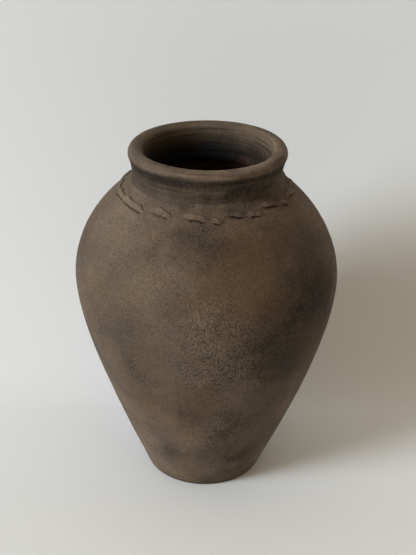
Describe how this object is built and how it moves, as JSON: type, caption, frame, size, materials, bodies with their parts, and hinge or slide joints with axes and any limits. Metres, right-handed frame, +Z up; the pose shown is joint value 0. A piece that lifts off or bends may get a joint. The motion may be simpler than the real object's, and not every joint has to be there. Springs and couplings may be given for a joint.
{
  "type": "storage jar",
  "caption": "Tall shouldered storage jar with a narrow flat foot, full belly, short neck, rolled rim and a pinched clay strip round the neck joint; holds dry goods or stands as decor.",
  "frame": {"origin": "centre of the foot's flat underside", "axes": "+Z up along the jar's axis, out of the mouth; -Y is the side that the picture shows"},
  "size_m": [0.2928, 0.2928, 0.4],
  "materials": {
    "smoked_terracotta": "matte, grainy brown with smoky grey and black mottling",
    "raw_terracotta": "matte raw reddish clay"
  },
  "bodies": {
    "root": {"base_disc": "smoked_terracotta", "foot_course": "smoked_terracotta", "lower_course": "smoked_terracotta", "middle_course": "smoked_terracotta", "belly_course": "smoked_terracotta", "upper_course": "smoked_terracotta", "shoulder_course": "smoked_terracotta", "neck_collar": "smoked_terracotta", "rim_roll": "smoked_terracotta", "pinched_band": "smoked_terracotta", "floor_coil": "raw_terracotta"}
  },
  "joints": []
}
